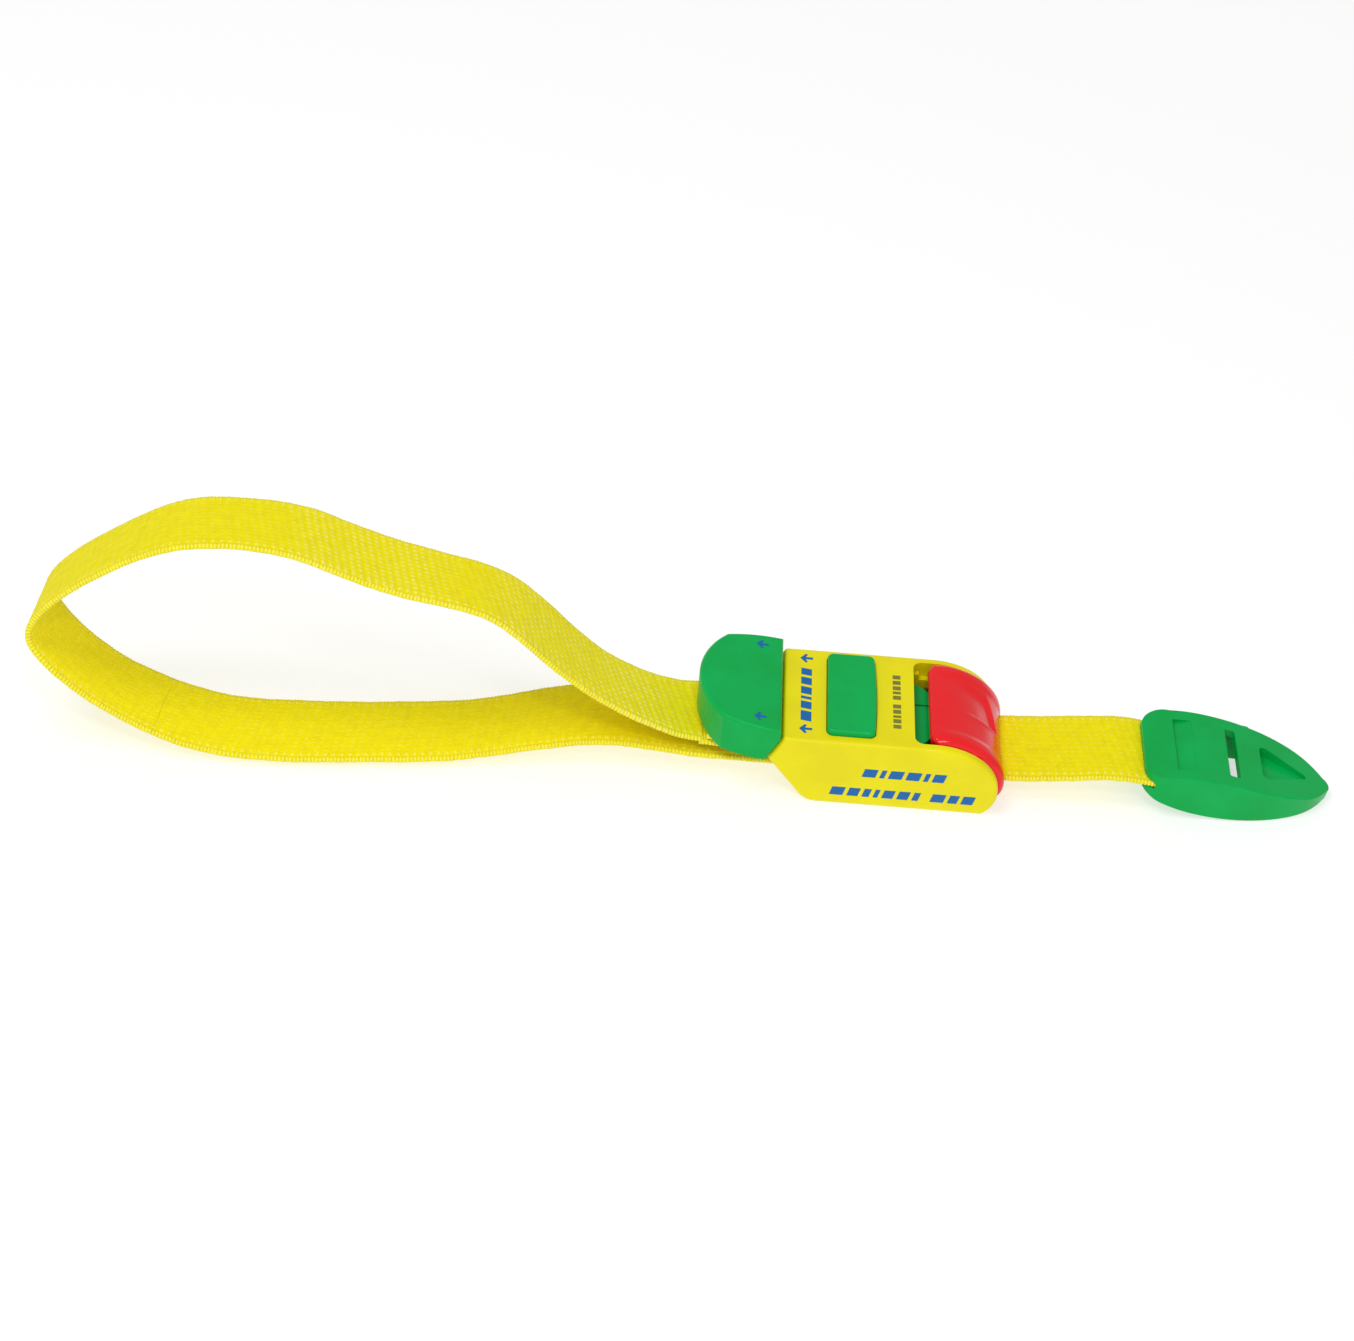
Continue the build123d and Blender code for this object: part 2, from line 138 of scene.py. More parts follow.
def blend_colours(tree, factor, a, b):
    """Colour a where the factor is 0 and b where it is 1."""
    mix = add(tree, "ShaderNodeMix", {"Factor": factor}, data_type="RGBA")
    for socket, value in ((mix.inputs[6], a), (mix.inputs[7], b)):
        if isinstance(value, bpy.types.NodeSocket):
            tree.links.new(value, socket)
        else:
            socket.default_value = value
    return mix.outputs[2]


def remap(tree, value, low, high, to_low, to_high):
    """The value taken from one range to another, held at its ends."""
    return add(tree, "ShaderNodeMapRange",
               {"Value": value, 1: low, 2: high, 3: to_low, 4: to_high}).outputs[0]


# --- moulded plastics --------------------------------------------------------------------------


def moulded(name, shade, tint, roughness, grain=0.012, level=0.4):
    """Injection-moulded ABS: flow marks some 12 mm long change the shade a little, patches of
    2.5 mm change the gloss, and a spark-eroded grain, drawn at 0.5 mm so that it shows, stands out
    by the given height in millimetres."""
    material, tree, surface = new_material(name)
    place = add(tree, "ShaderNodeTexCoord").outputs["Object"]
    flow = add(tree, "ShaderNodeTexNoise",
               {"Vector": place, "Scale": 1 / (12 * MM), "Detail": 3.0}).outputs["Fac"]
    patch = add(tree, "ShaderNodeTexNoise",
                {"Vector": place, "Scale": 1 / (2.5 * MM), "Detail": 2.0}).outputs["Fac"]
    fine = add(tree, "ShaderNodeTexNoise",
               {"Vector": place, "Scale": 1 / (0.5 * MM), "Detail": 1.0}).outputs["Fac"]
    base = blend_colours(tree, remap(tree, flow, 0.35, 0.65, 0.0, 1.0),
                         colour(shade), colour(tint))
    tree.links.new(base, surface.inputs["Base Color"])
    rough = remap(tree, patch, 0.3, 0.7, roughness - 0.04, roughness + 0.05)
    tree.links.new(rough, surface.inputs["Roughness"])
    bump = add(tree, "ShaderNodeBump", {"Height": fine, "Distance": grain * MM, "Strength": 1.0})
    tree.links.new(bump.outputs[0], surface.inputs["Normal"])
    surface.inputs["Specular IOR Level"].default_value = level
    return material


# the housing: satin yellow ABS
yellow_abs = moulded("housing yellow ABS", "#F2E600", "#EBDD00", 0.34, level=0.25)
# plug, release button and tip: green ABS
green_abs = moulded("plug green ABS", "#00AA4A", "#00B254", 0.3, level=0.16)
# the lever: red ABS from a polished mould
red_abs = moulded("lever red ABS", "#F01018", "#F21C24", 0.2, grain=0.003, level=0.35)


def drawn_steel():
    """Drawn spring wire and pins: bright steel with fine lines every 0.12 mm along Y."""
    material, tree, surface = new_material("drawn spring steel")
    place = add(tree, "ShaderNodeTexCoord").outputs["Object"]
    squeezed = add(tree, "ShaderNodeMapping",
                   {"Vector": place, "Scale": (1.0, 0.05, 1.0)}).outputs[0]
    lines = add(tree, "ShaderNodeTexNoise",
                {"Vector": squeezed, "Scale": 1 / (0.12 * MM), "Detail": 2.0}).outputs["Fac"]
    shade = blend_colours(tree, lines, colour("#B9BCC0"), colour("#D6D8DA"))
    tree.links.new(shade, surface.inputs["Base Color"])
    tree.links.new(remap(tree, lines, 0.3, 0.7, 0.22, 0.36), surface.inputs["Roughness"])
    surface.inputs["Metallic"].default_value = 1.0
    return material


def print_ink(name, shade, thin):
    """Pad-printed ink: the shade thins a little in specks of 0.4 mm, and the film is matt."""
    material, tree, surface = new_material(name)
    place = add(tree, "ShaderNodeTexCoord").outputs["Object"]
    specks = add(tree, "ShaderNodeTexNoise",
                 {"Vector": place, "Scale": 1 / (0.4 * MM), "Detail": 2.0}).outputs["Fac"]
    base = blend_colours(tree, remap(tree, specks, 0.45, 0.7, 0.0, 1.0),
                         colour(shade), colour(thin))
    tree.links.new(base, surface.inputs["Base Color"])
    tree.links.new(remap(tree, specks, 0.3, 0.7, 0.5, 0.62), surface.inputs["Roughness"])
    surface.inputs["Specular IOR Level"].default_value = 0.3
    return material


steel = drawn_steel()
# arrows and bars on the roof, the side wall and the plug
blue_ink = print_ink("blue pad-print ink", "#0F62AE", "#1C70AE")
# the thin marking beside the lever
grey_ink = print_ink("grey pad-print ink", "#77792F", "#8C8C38")


def sewing_thread():
    """Polyester thread: two plies twisted at a pitch of 0.5 mm, paler on the crests of the twist
    and darker in its grooves: painted highlight and painted shade.
    """
    material, tree, surface = new_material("yellow sewing thread")
    place = add(tree, "ShaderNodeTexCoord").outputs["Object"]
    parts = add(tree, "ShaderNodeSeparateXYZ", {0: place})
    along = calc(tree, "MULTIPLY", parts.outputs["Y"], 2 * pi / (0.5 * MM))
    skew = calc(tree, "MULTIPLY_ADD", parts.outputs["X"], 2 * pi / (0.5 * MM), along)
    ply = calc(tree, "SINE", skew)
    # painted highlight on the plies' crests and painted shade in the grooves between them
    tree.links.new(blend_colours(tree, remap(tree, ply, -1, 1, 0, 1),
                                 colour("#E2CE1A"), colour("#FFF27A")),
                   surface.inputs["Base Color"])
    bump = add(tree, "ShaderNodeBump", {"Height": ply, "Distance": 0.05 * MM})
    tree.links.new(bump.outputs[0], surface.inputs["Normal"])
    surface.inputs["Roughness"].default_value = 0.6
    return material


thread = sewing_thread()

# --- the weave ------------------------------------------------------------------------------------

WIDTH = 25.0           # of the webbing
THICKNESS = 1.6
PICK = 0.9             # spacing of the weft along the selvedge
FLOAT_LENGTH = 2.0     # spacing of the raised floats along the band
FLOAT_SIDE = 1.7       # and across it
LEAN = 0.22            # how far the cross rows of floats lean, per millimetre across
TWILL_TURN = radians(20)  # of the twill lines off the band's length
TWILL = 0.75           # spacing of the diagonal twill lines, drawn a quarter coarser than woven
ZONES = ((300.0, 12.0), (361.0, 22.0))  # stretches of the loop where the floats stand out, with their painted highlight strongest, by arc length and reach, and the length over which they fade
ZONE_FADE = 12.0                        # arc length and reach, and the length over which they fade
EDGE_ROW = 10.7        # distance of the row of raised floats from the middle
GROOVE = 11.6          # and of the groove inside the selvedge


def elastic_webbing():
    """Woven elastic webbing. The map's first axis runs along the band and the second across it,
    in metres. Twill lines lie 20 degrees off the length, with painted shade in their grooves; raised
    floats stand in a lattice of 2 by 1.7 mm and carry a painted highlight that shows most in the
    zones; the selvedge carries ribs every 0.9 mm, with a painted highlight on their crests and
    painted shade between them; painted shade lies in the groove inside it, and the row of raised
    floats by the edge carries a fainter painted highlight."""
    material, tree, surface = new_material("yellow elastic webbing")
    place = add(tree, "ShaderNodeUVMap", uv_map="weave").outputs[0]
    parts = add(tree, "ShaderNodeSeparateXYZ", {0: place})
    along = calc(tree, "MULTIPLY", parts.outputs["X"], 1 / MM)
    across = calc(tree, "MULTIPLY", parts.outputs["Y"], 1 / MM)
    flat = add(tree, "ShaderNodeCombineXYZ", {0: along, 1: across}).outputs[0]
    wander = add(tree, "ShaderNodeTexNoise",
                 {"Vector": flat, "Scale": 0.35, "Detail": 2.0}).outputs["Fac"]
    drift = calc(tree, "MULTIPLY", calc(tree, "SUBTRACT", wander, 0.5), 1.6)

    def wave(a_scale, c_scale, wobble=1.0):
        """Cosine of a straight wave over the band, pushed about by the drift."""
        phase = calc(tree, "MULTIPLY_ADD", along, a_scale,
                     calc(tree, "MULTIPLY", across, c_scale))
        return calc(tree, "COSINE", calc(tree, "MULTIPLY_ADD", drift, wobble, phase))

    twill = wave(2 * pi / TWILL * sin(TWILL_TURN), 2 * pi / TWILL * cos(TWILL_TURN), 0.8)
    lattice = calc(tree, "MULTIPLY", wave(pi / FLOAT_LENGTH, LEAN * pi / FLOAT_LENGTH, 0.5),
                   wave(0.06, pi / FLOAT_SIDE, 0.6))
    floats = calc(tree, "POWER", calc(tree, "ABSOLUTE", lattice), 3.0)
    rows = add(tree, "ShaderNodeTexNoise",
               {"Vector": flat, "Scale": 0.16, "Detail": 2.0}).outputs["Fac"]
    # painted highlight on the raised floats: strongest in the zones, varied by rows and by specks
    zones = [remap(tree, calc(tree, "ABSOLUTE", calc(tree, "SUBTRACT", along, centre)),
                   reach, reach + ZONE_FADE, 1.0, 0.0) for centre, reach in ZONES]
    shown = calc(tree, "MULTIPLY_ADD", calc(tree, "MAXIMUM", *zones), 0.75, 0.2)
    shown = calc(tree, "MULTIPLY", shown, remap(tree, rows, 0.36, 0.6, 0.5, 1.0))
    spark = add(tree, "ShaderNodeTexNoise",
                {"Vector": flat, "Scale": 1.1, "Detail": 1.0}).outputs["Fac"]
    float_highlight = calc(tree, "MULTIPLY", calc(tree, "MULTIPLY", floats, shown),
                remap(tree, spark, 0.35, 0.6, 0.25, 1.0))
    off_middle = calc(tree, "ABSOLUTE", across)
    selvedge = remap(tree, off_middle, GROOVE - 0.2, GROOVE + 0.3, 0.0, 1.0)
    groove = remap(tree, calc(tree, "ABSOLUTE", calc(tree, "SUBTRACT", off_middle, GROOVE)),
                   0.0, 0.45, 1.0, 0.0)
    rib = wave(2 * pi / PICK, 0.0, 0.25)
    # painted highlight on the row of raised floats by the edge
    edge_float_highlight = calc(
        tree, "MULTIPLY",
        remap(tree, calc(tree, "ABSOLUTE", calc(tree, "SUBTRACT", off_middle, EDGE_ROW)),
              0.25, 0.6, 1.0, 0.0),
        remap(tree, wave(2 * pi / FLOAT_LENGTH, 0.0, 0.3), 0.35, 0.8, 0.0, 1.0),
    )
    base = blend_colours(tree, remap(tree, wander, 0.3, 0.7, 0.0, 1.0),
                         colour("#FBEE00"), colour("#F2E300"))
    # painted shade in the grooves of the twill
    base = blend_colours(tree, remap(tree, twill, -1.0, 0.2, 0.22, 0.0), base, colour("#E2D000"))
    # painted highlight on the raised floats
    base = blend_colours(tree, calc(tree, "MULTIPLY", float_highlight, 1.0), base, colour("#FFFCA0"))
    # fainter painted highlight on the edge row of floats
    base = blend_colours(tree, calc(tree, "MULTIPLY", edge_float_highlight, 0.4), base, colour("#FFFA96"))
    # painted highlight on the crests of the selvedge ribs
    rib_highlight = calc(tree, "MULTIPLY", selvedge, remap(tree, rib, -0.2, 0.9, 0.0, 0.6))
    base = blend_colours(tree, rib_highlight, base, colour("#FFF77C"))
    # painted shade in the troughs between the selvedge ribs
    rib_shade = calc(tree, "MULTIPLY", selvedge, remap(tree, rib, -1.0, -0.1, 0.22, 0.0))
    base = blend_colours(tree, rib_shade, base, colour("#CDBB00"))
    # painted shade in the groove inside the selvedge
    base = blend_colours(tree, calc(tree, "MULTIPLY", groove, 0.35), base, colour("#D8C700"))
    tree.links.new(base, surface.inputs["Base Color"])
    height = calc(tree, "MULTIPLY_ADD", twill, 0.35, calc(tree, "MULTIPLY", floats, 0.9))
    height = calc(tree, "MULTIPLY_ADD", calc(tree, "MULTIPLY", rib, selvedge), 0.6, height)
    fuzz = add(tree, "ShaderNodeTexNoise",
               {"Vector": flat, "Scale": 5.0, "Detail": 2.0}).outputs["Fac"]
    height = calc(tree, "MULTIPLY_ADD", fuzz, 0.5, height)
    bump = add(tree, "ShaderNodeBump", {"Height": height, "Distance": 0.09 * MM,
                                        "Strength": 0.8})
    tree.links.new(bump.outputs[0], surface.inputs["Normal"])
    tree.links.new(remap(tree, fuzz, 0.3, 0.7, 0.62, 0.8), surface.inputs["Roughness"])
    surface.inputs["Specular IOR Level"].default_value = 0.1
    surface.inputs["Sheen Weight"].default_value = 0.04
    surface.inputs["Sheen Roughness"].default_value = 0.4
    surface.inputs["Sheen Tint"].default_value = colour("#FFF58C")
    return material


webbing = elastic_webbing()

for name, material in {
    "housing_shell": yellow_abs, "base_plate": yellow_abs, "release_button": green_abs,
    "button_spring_front": steel, "button_spring_back": steel, "release_lever": red_abs,
    "lever_pin": steel, "lever_spring": steel, "plug_body": green_abs, "anchor_bar": steel,
    "strap_anchor_loop": webbing, "anchor_stitching": thread, "strap_upper": webbing,
    "strap_bend": webbing, "strap_lower": webbing, "strap_tail": webbing,
    "tip_upper_shell": green_abs, "tip_lower_shell": green_abs,
}.items():
    data = nodes[name].data
    data.materials.clear()
    data.materials.append(material)

# --- meshes --------------------------------------------------------------------------------------


def mesh_object(name, points, faces, material, uv=None, flat_faces=0):
    """A smooth mesh from points in millimetres and rows of corner numbers. The last flat_faces
    rows stay flat. uv holds one pair for each corner, in the order of the faces."""
    mesh = bpy.data.meshes.new(name)
    mesh.from_pydata((points * MM).tolist(), [], [list(f) for f in faces])
    smooth = np.ones(len(mesh.polygons), bool)
    if flat_faces:
        smooth[-flat_faces:] = False
    mesh.polygons.foreach_set("use_smooth", smooth)
    if uv is not None:
        layer = mesh.uv_layers.new(name="weave")
        layer.uv.foreach_set("vector", np.asarray(uv, np.float32).ravel())
    mesh.materials.append(material)
    mesh.update()
    made = bpy.data.objects.new(name, mesh)
    bpy.context.scene.collection.objects.link(made)
    return made


def smooth_path(points, spacing):
    """Quadratic B-spline through a list of rows, resampled at even arc length.

    Every inner row pulls one parabola that starts and ends halfway along its two runs; the ends are
    reached along straight runs. Only the first three numbers of a row count as length."""
    rows = np.array(points, float)
    middles = (rows[:-1] + rows[1:]) / 2
    t = np.linspace(0, 1, 40)[:, None]
    pieces = [rows[0] + (middles[0] - rows[0]) * t]
    for before, here, after in zip(middles, rows[1:-1], middles[1:]):
        pieces.append((1 - t) ** 2 * before + 2 * t * (1 - t) * here + t ** 2 * after)
    pieces.append(middles[-1] + (rows[-1] - middles[-1]) * t)
    dense = np.concatenate(pieces)
    step = np.linalg.norm(np.diff(dense[:, :3], axis=0), axis=1)
    keep = np.concatenate(([True], step > 1e-9))
    dense = dense[keep]
    reach = np.concatenate(([0], np.cumsum(np.linalg.norm(np.diff(dense[:, :3], axis=0), axis=1))))
    count = max(2, int(round(reach[-1] / spacing)) + 1)
    at = np.linspace(0, reach[-1], count)
    return at, np.stack([np.interp(at, reach, dense[:, i]) for i in range(rows.shape[1])], axis=1)


def ripple(s, seed, waves):
    """Slow irregular wave along s: sines of the given (length, height) with seeded phases."""
    phases = np.random.default_rng(seed).uniform(0, 2 * pi, len(waves))
    return sum(h * np.sin(2 * pi * s / w + p) for (w, h), p in zip(waves, phases))


SIDE_SAMPLES = 44
EDGE_SAMPLES = 7


def band_section():
    """Outline of the band's cross-section, as across, out-of-plane and outward direction.

    Two flat sides, sampled closer towards the selvedges, joined by half circles."""
    radius = THICKNESS / 2
    half = WIDTH / 2 - radius
    t = np.linspace(-1, 1, SIDE_SAMPLES)
    v = half * (0.55 * t + 0.45 * np.sin(pi / 2 * t))
    turn = np.linspace(-pi / 2, pi / 2, EDGE_SAMPLES + 2)[1:-1]
    parts = [
        (v, np.full_like(v, -radius), 0 * v, 0 * v - 1),
        (half + radius * np.cos(turn), radius * np.sin(turn), np.cos(turn), np.sin(turn)),
        (v[::-1], np.full_like(v, radius), 0 * v, 0 * v + 1),
        (-half - radius * np.cos(turn[::-1]), radius * np.sin(turn[::-1]),
         -np.cos(turn[::-1]), np.sin(turn[::-1])),
    ]
    return [np.concatenate(column) for column in zip(*parts)]


def weave_relief(u, v):
    """Height of the woven surface over the band's mean face, for arc length u and distance v from
    the middle line: ribs on the selvedge, a groove beside it, a row of raised floats inside the
    groove, and a low lattice of floats and cross bands over the middle."""
    off = np.abs(v)
    selvedge = np.clip((off - GROOVE + 0.1) / 0.5, 0, 1)
    ribs = 0.11 * selvedge * np.cos(2 * pi * u / PICK)
    groove = -0.16 * np.exp(-((off - GROOVE) / 0.28) ** 2)
    row = 0.11 * np.exp(-((off - EDGE_ROW) / 0.42) ** 2)
    row = row * np.clip(np.cos(2 * pi * u / FLOAT_LENGTH), 0, 1) ** 1.5
    field = np.abs(np.cos(pi * (u + LEAN * v) / FLOAT_LENGTH) * np.cos(pi * v / FLOAT_SIDE))
    stand = np.max([np.clip(1 - (np.abs(u - centre) - reach) / ZONE_FADE, 0, 1)
                    for centre, reach in ZONES], axis=0)
    field = (0.04 + 0.09 * stand) * field ** 1.5 * (1 - selvedge)
    bands = 0.03 * np.cos(2 * pi * u / (2 * FLOAT_LENGTH) + 0.1 * v) * (1 - selvedge)
    return ribs + groove + row + field + bands


def directions(s, path):
    """Unit direction of a path at each arc length."""
    tangent = np.gradient(path[:, :3], s, axis=0)
    return tangent / np.linalg.norm(tangent, axis=1, keepdims=True)


def band(name, s, path, tangent, start, seed, relief=1.0):
    """A length of webbing swept along its middle line.

    The line gives place and tilt in degrees at each arc length s, and start is the arc length that
    the weave has reached at its first point. Across the band runs the Y axis made square to the line
    and tilted; every point of the section is set out along it and along the normal, then lifted
    outwards by the height of the weave and by a slow waviness of the selvedges."""
    centre, tilt = path[:, :3], np.radians(path[:, 3])
    level = np.array([0.0, 1.0, 0.0]) - tangent * tangent[:, 1:2]
    level /= np.linalg.norm(level, axis=1, keepdims=True)
    rise = np.cross(level, tangent)
    across = np.cos(tilt)[:, None] * level + np.sin(tilt)[:, None] * rise
    normal = np.cos(tilt)[:, None] * rise - np.sin(tilt)[:, None] * level
    v, n, out_v, out_n = (a[None, :] for a in band_section())
    u = (s + start)[:, None]
    height = relief * weave_relief(u, v)
    wave = ripple(u, seed, ((31, 0.10), (13, 0.07), (5.3, 0.05), (2.9, 0.03))) * (v / WIDTH * 2) ** 5
    v_at = v + out_v * height + wave * relief
    n_at = n + out_n * height
    points = centre[:, None, :] + v_at[..., None] * across[:, None, :]
    points = points + n_at[..., None] * normal[:, None, :]
    rows, columns = points.shape[:2]
    i, j = np.meshgrid(np.arange(rows - 1), np.arange(columns), indexing="ij")
    k = (j + 1) % columns
    quads = np.stack([i * columns + j, (i + 1) * columns + j, (i + 1) * columns + k,
                      i * columns + k], axis=-1).reshape(-1, 4)
    first = list(range(columns))
    last = list(range((rows - 1) * columns, rows * columns))[::-1]
    uv_grid = np.stack(np.broadcast_arrays(u, v), axis=-1).reshape(-1, 2) * MM
    faces = [*quads.tolist(), first, last]
    uv = np.concatenate([uv_grid[quads.ravel()], uv_grid[first], uv_grid[last]])
    return mesh_object(name, points.reshape(-1, 3), faces, webbing, uv, flat_faces=2)


# --- the webbing's routes -----------------------------------------------------------------------
# Rows of X, Y, Z and tilt. The loop leaves the housing at the bottom, turns at the left and comes
# back over the top to the plug; it wanders towards -Y on its way and leans a few degrees.

loop_route = [
    (-23.1, 0, 7, 0), (-37, 0, 7, 0), (-50, 0, 6.8, 0), (-63, 0.6, 8.1, 0),
    (-76, 0.8, 7.8, -1), (-90, -0.8, 5.6, -3), (-104, -3.0, 2.9, -4), (-118, -5.4, 2.0, -4),
    (-160, -10.2, 1.9, -3), (-178, -9.2, 3.3, -4), (-194.5, -7.6, 9.4, -5),
    (-204, -7.2, 16.0, -4), (-212.2, -6.6, 24.0, -2), (-216.8, -5.2, 31.0, 2),
    (-213.8, -4.2, 37.6, 6), (-203, -3.4, 47.0, 8), (-183, -3.2, 60.0, 7),
    (-166, -3.6, 62.4, 8), (-151, -3.6, 61.0, 7), (-140, -3.8, 56.6, 6),
    (-128, -4.0, 52.6, 6), (-116, -4.2, 50.3, 8), (-106, -3.9, 48.0, 8),
    (-98, -3.4, 43.2, 5), (-90, -3.0, 35.4, 4), (-82, -2.4, 27.4, 6), (-74, -1.8, 20.8, 9),
    (-65, -1.0, 15.6, 9), (-56, -0.4, 12.1, 6), (-49.75, 0, 11.6, 3),
]
LOWER_END = (-185.75, 5.7)
BEND_END = (-190.0, 56.0)
tail_route = [
    (-22.9, 0, 7, 0), (27, 0, 7, 0), (44, -0.2, 9, 0), (54, -0.1, 10.3, 0),
    (61.5, 0, 10.15, 0), (77, 0, 7.42, 0),
]
anchor_route = [
    (-49.75, 0, 11.55, 0), (-43.5, 0, 11.1, 0), (-38.2, 0, 11.2, 0), (-35.1, 0, 13.6, 0),
    (-35.3, 0, 18.7, 0), (-38.4, 0, 19.2, 0), (-41.2, 0, 17.9, 0), (-43.6, 0, 13.3, 0),
    (-48, 0, 13.25, 0),
]
SPACING = 0.28

s, path = smooth_path(loop_route, SPACING)
along_loop = directions(s, path)
cuts = [0]
for x, z in (LOWER_END, BEND_END):
    cuts.append(int(np.argmin((path[:, 0] - x) ** 2 + (path[:, 2] - z) ** 2)))
cuts.append(len(s) - 1)
loop_pieces = {}
for node, first, last in zip(("strap_lower", "strap_bend", "strap_upper"), cuts, cuts[1:]):
    part = slice(first, last + 1)
    piece = band(f"{node}_webbing", s[part] - s[first], path[part], along_loop[part], s[first],
                 seed=3)
    loop_pieces[node] = (piece, (s[last] - s[first]) * MM)

s_tail, path_tail = smooth_path(tail_route, SPACING)
tail = band("strap_tail_webbing", s_tail, path_tail, directions(s_tail, path_tail), 0, seed=8)
s_anchor, path_anchor = smooth_path(anchor_route, SPACING)
anchor = band("strap_anchor_webbing", s_anchor, path_anchor, directions(s_anchor, path_anchor),
              s[-1], seed=5, relief=0.5)

for node, (piece, length) in loop_pieces.items():
    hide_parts(node)
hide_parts("strap_tail")
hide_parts("strap_anchor_loop")
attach(anchor, "plug")
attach(tail, "free_end")
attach(loop_pieces["strap_upper"][0], "plug")
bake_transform(loop_pieces["strap_lower"][0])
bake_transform(loop_pieces["strap_bend"][0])

# --- lever ----------------------------------------------------------------------------------------

LEVER_CENTRE = (9.0, 7.0)       # of the quarter ellipse of its back, X and Z
LEVER_REACH = (18.4, 13.95)     # half axes of the ellipse
LEVER_HALF = 15.9               # half its width
LEVER_LEFT = 7.5                # X of its edge at the gap in the roof
LEVER_SWEEP = (90, -13)         # degrees of the ellipse, from its top to below its middle
SIDE_ROUND = 2.3                # radius between back and sides
SIDE_DEPTH = 0.2                # how far the sides run on below that radius
CORNER_ROUND = 3.6              # radius of the two corners in plan, at the left edge
CORNER_RUN = 6.0                # length over which that radius fades
END_ROUND = 1.7                 # radius at both ends of the back
SKIN = 2.0                      # thickness
RIM_HEIGHT = 0.35
RIM_Y = (10.0, 12.6)            # where the rim starts to rise and where it is full
DISH_DEPTH = 0.25
DISH_HALF = 12.0                # half the width of the dish
RIDGE_HEIGHT = 0.12             # of the thin ridge along the scoop's near side
SCOOP_Y = (-1.6, 9.5)           # sides of the thumb scoop
SCOOP_DEPTH = 0.9
LIP_ANGLE = 28.0                # where the scoop's lip meets its near side, on the ellipse
LIP_SWEEP = 4.6                 # how far the lip runs up the back on its way to the far side


def step(x, low, high):
    """Smooth step from 0 at low to 1 at high."""
    t = np.clip((x - low) / (high - low), 0, 1)
    return t * t * (3 - 2 * t)


